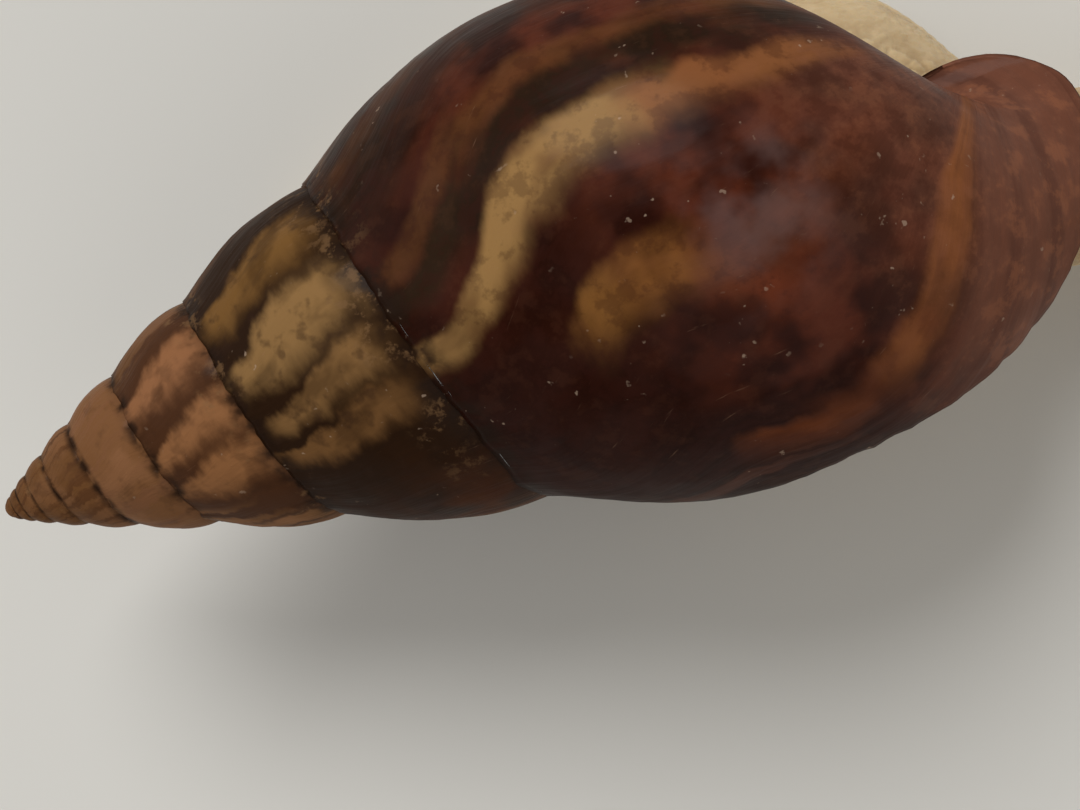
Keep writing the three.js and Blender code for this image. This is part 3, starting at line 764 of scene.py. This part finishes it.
# The parts grow together into one skin of even, fine mesh.
parts = bpy.data.meshes.new("flesh parts")
flesh.to_mesh(parts)
flesh.free()
mould = bpy.data.objects.new("flesh parts", parts)
bpy.context.collection.objects.link(mould)
grow_together = mould.modifiers.new("grow together", "REMESH")
grow_together.mode = "VOXEL"
grow_together.voxel_size = 0.5
skin_mesh = bmesh.new()
skin_mesh.from_object(mould, bpy.context.evaluated_depsgraph_get())
bpy.data.objects.remove(mould)


def on_feeler(place):
    """1 on the thin feelers, 0 elsewhere on the skin."""
    upper = smooth_step(80.5, 84, place.x) * smooth_step(21.5, 24, place.z)
    lower = smooth_step(88.5, 90, place.x) * smooth_step(4.6, 6, abs(place.y - HEAD_LINE))
    return max(upper, lower if place.z < 10 else 0)


def stiffness(place):
    """How early a place of the skin drops out of the smoothing, from 0, never, to 3."""
    if on_feeler(place) > 0.5:
        return 3
    if place.x > 85 and place.z < 13:
        return 2
    return 0 if -42 < place.x < 54 and place.z > 5 else 1


# The joins between the parts are smoothed: most where the neck and the waist meet, less
# on the face, least on the feelers.
for rounds, stiffest in ((3, 3), (9, 2), (36, 1), (50, 0)):
    soft = [vert for vert in skin_mesh.verts if stiffness(vert.co) <= stiffest]
    for again in range(rounds):
        bmesh.ops.smooth_vert(skin_mesh, verts=soft, factor=0.5,
                              use_axis_x=True, use_axis_y=True, use_axis_z=True)


def warts(place, length, width, seed):
    """Rounded warts between furrows: 0 in the furrow, 1 on the wart."""
    cell = Vector((place.x / length, place.y / width, place.z / width + seed))
    nearest, second = noise.voronoi(cell)[0][:2]
    return smooth_step(0.02, 0.42, second - nearest)


# Warts and furrows: heights, depths and places in millimetres.
LARGE_WART, SMALL_WART, FEELER_GRAIN = 0.5, 0.34, 0.1
GROOVE, SIDE_FURROW, NECK_FURROW, FOLD, CLEFT = 0.09, 0.34, 0.45, 0.7, 0.9
SIDE_FURROW_AT = 5.2            # above the floor
NECK_FURROW_AT = 1.5            # either side of the neck's middle line
skin_mesh.normal_update()
relief = skin_mesh.verts.layers.float.new("relief")
margin = skin_mesh.verts.layers.float.new("margin")
moves = []
for vert in skin_mesh.verts:
    place, normal = vert.co, vert.normal
    foot_y, foot_half = between(FOOT, place.x)[:2]
    edge = abs(place.y - foot_y) / max(foot_half, 1)
    feeler = on_feeler(place)
    head = smooth_step(62, 84, place.x) * (1 - feeler)
    skirt = (smooth_step(5.4, 3.6, place.z) * smooth_step(0.6, 0.75, edge)
             * smooth_step(89.5, 83, place.x))
    sole = smooth_step(-0.6, -0.9, normal.z) * smooth_step(1.2, 0.5, place.z)
    large = warts(place, 2.7, 1.6, 0) * 0.65 + warts(place, 1.4, 1.0, 5) * 0.35
    small = warts(place, 1.35, 1.0, 9)
    fine = warts(place, 0.9, 0.9, 3)
    flank = smooth_step(0.45, 0.75, edge) * smooth_step(17, 11, place.z) * (1 - head)
    large += (warts(place, 1.3, 0.9, 7) * 0.45 - large) * flank
    height = large * LARGE_WART * (1 - head) + small * SMALL_WART * head * (1 - feeler)
    height = height * (1 - feeler) + fine * FEELER_GRAIN * feeler
    rough = height
    height *= 1 - 0.85 * skirt
    # The skirt is smooth, with fine upright grooves, and a furrow parts it from the side.
    grooves = 0.5 + 0.5 * math.sin(place.x * 4.6 + 2.2 * noise.noise(place * 0.3))
    height -= skirt * GROOVE * grooves
    furrow = math.exp(-((place.z - SIDE_FURROW_AT) / 0.5) ** 2) * smooth_step(0.55, 0.75, edge)
    height -= furrow * SIDE_FURROW * (1 - feeler) * smooth_step(89, 85, place.x)
    # Two furrows run along the top of the neck, either side of a row of long warts.
    crown = smooth_step(0.55, 0.85, normal.z) * smooth_step(46, 56, place.x) * (1 - feeler)
    from_line = abs(place.y - between(NECK, place.x)[0]) if place.x > 33 else 9
    height -= crown * NECK_FURROW * math.exp(-((from_line - NECK_FURROW_AT) / 0.4) ** 2)
    # Loose folds of skin where the neck and the waist go up into the shell.
    near_shell = smooth_step(12, 22, place.z) * smooth_step(62, 46, place.x)
    fold = noise.noise(Vector((place.x * 0.32, place.y * 0.1, place.z * 0.12)))
    height += near_shell * FOLD * (0.4 - abs(fold) * 2.2)
    # The mouth: an upright cleft between the lips, under the front of the head.
    mouth = (smooth_step(89, 91, place.x) * smooth_step(9.6, 8.2, place.z)
             * smooth_step(2.8, 3.8, place.z) * math.exp(-((place.y - MOUTH_LINE) / 0.55) ** 2))
    height -= mouth * CLEFT
    # The relief mark is low in the furrows and the mouth's cleft, where the skin paint lays
    # painted shade.
    vert[relief] = min(max(rough / LARGE_WART, 0.6 * flank), 1) * (1 - mouth)
    vert[margin] = skirt
    moves.append(normal * height * (1 - sole))
for vert, move in zip(skin_mesh.verts, moves):
    vert.co += move
    vert.co.z = max(vert.co.z, 0)

skin_piece = piece_of(
    "skin", skin_mesh, "skin", "tail", "foot_rear", "foot_middle", "foot_front", "waist",
    "neck_rear", "neck_front", "head", "lips", "upper_tentacle_left_root",
    "upper_tentacle_left_tip", "upper_tentacle_right_root", "upper_tentacle_right_tip",
    "lower_tentacle_left", "lower_tentacle_right")

skin_paint = Finish("moist cream skin")
skin_place = skin_paint.place()
on_wart = skin_paint.mark("relief")
on_skirt = skin_paint.mark("margin")
mottle = skin_paint.cloud(skin_place, 130.0)
flesh_tone = skin_paint.blend(mottle.between(0.35, 0.65), colour(194, 166, 122),
                              colour(214, 189, 146))
# Painted shade darkens the furrows between the warts and the mouth's cleft; the skirt is paler.
flesh_tone = skin_paint.coats(flesh_tone, ((1 - on_wart) * 0.6, 138, 108, 72),
                              (on_skirt, 212, 186, 140))
skin_paint.set(Base_Color=flesh_tone, Roughness=0.36 + mottle * 0.2, Coat_Weight=0.3,
               Coat_Roughness=0.2, Subsurface_Weight=0.12, Subsurface_Radius=FLESH_GLOW,
               Subsurface_Scale=1.0)
skin_paint.bump(skin_paint.cloud(skin_place, 2200.0, 2.0), 0.06)
skin_piece.data.materials.append(skin_paint.material)

# ---------------------------------------------------------------------------------------
# The eyes. A small black glossy bead at the end of each upper feeler, half sunk in the
# clear swelling of the tip.

EYE_RADIUS = 0.8
eye_paint = Finish("glossy black eye")
eye_paint.set(Base_Color=colour(18, 14, 13), Roughness=0.12, Coat_Weight=0.6)
for name in ("eye_left", "eye_right"):
    low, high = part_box(name)
    eye_mesh = bmesh.new()
    bmesh.ops.create_icosphere(eye_mesh, subdivisions=4, radius=EYE_RADIUS)
    bmesh.ops.transform(eye_mesh, matrix=Matrix.Translation(
        to_frame.inverted() @ ((low + high) / 2)), verts=eye_mesh.verts)
    eye_piece = piece_of("bead_" + name, eye_mesh, "eye", name)
    eye_piece.data.materials.append(eye_paint.material)

# ---------------------------------------------------------------------------------------
# The stage: a plain pale floor, soft studio lamps, and a camera that looks almost
# straight down on the shell from in front of its right side.

bpy.ops.mesh.primitive_plane_add(size=6, location=(0, 0, 0))
floor = bpy.context.object
floor.name = "studio_floor"
floor_paint = Finish("pale floor")
floor_paint.set(Base_Color=colour(206, 204, 198), Roughness=0.75)
floor.data.materials.append(floor_paint.material)

# Each lamp's direction, the width of its sky in degrees, and its strength.
for name, heading, spread, strength in (
        ("large soft lamp overhead", (0.35, -0.7, -1), 35, 1.95),
        ("soft lamp from the right", (-0.6, 0.9, -0.75), 60, 0.6),
        ("soft lamp from behind", (0.9, -0.1, -0.6), 60, 0.45)):
    lamp = bpy.data.lights.new(name, "SUN")
    lamp.angle = math.radians(spread)
    lamp.energy = strength
    stand = bpy.data.objects.new(name, lamp)
    stand.matrix_world = Vector(heading).to_track_quat("-Z", "Y").to_matrix().to_4x4()
    bpy.context.collection.objects.link(stand)

world = bpy.data.worlds.new("studio air")
world.use_nodes = True
world.node_tree.nodes["Background"].inputs["Color"].default_value = (1, 0.98, 0.95, 1)
world.node_tree.nodes["Background"].inputs["Strength"].default_value = 0.32
bpy.context.scene.world = world
bpy.context.scene.view_settings.view_transform = "Standard"

CAMERA_AT = Vector((0, -60.3, 255))
CAMERA_RIGHT = Vector((0.9982, 0, -0.0595))
CAMERA_UP = Vector((0.0071, 0.9929, 0.1189))
lens = bpy.data.cameras.new("camera")
lens.sensor_width = 36
lens.lens = 67.18
camera = bpy.data.objects.new("camera", lens)
turned = Matrix((CAMERA_RIGHT, CAMERA_UP, CAMERA_RIGHT.cross(CAMERA_UP))).transposed()
camera.matrix_world = Matrix.Translation(to_frame @ CAMERA_AT) @ turned.to_4x4()
bpy.context.collection.objects.link(camera)
bpy.context.scene.camera = camera
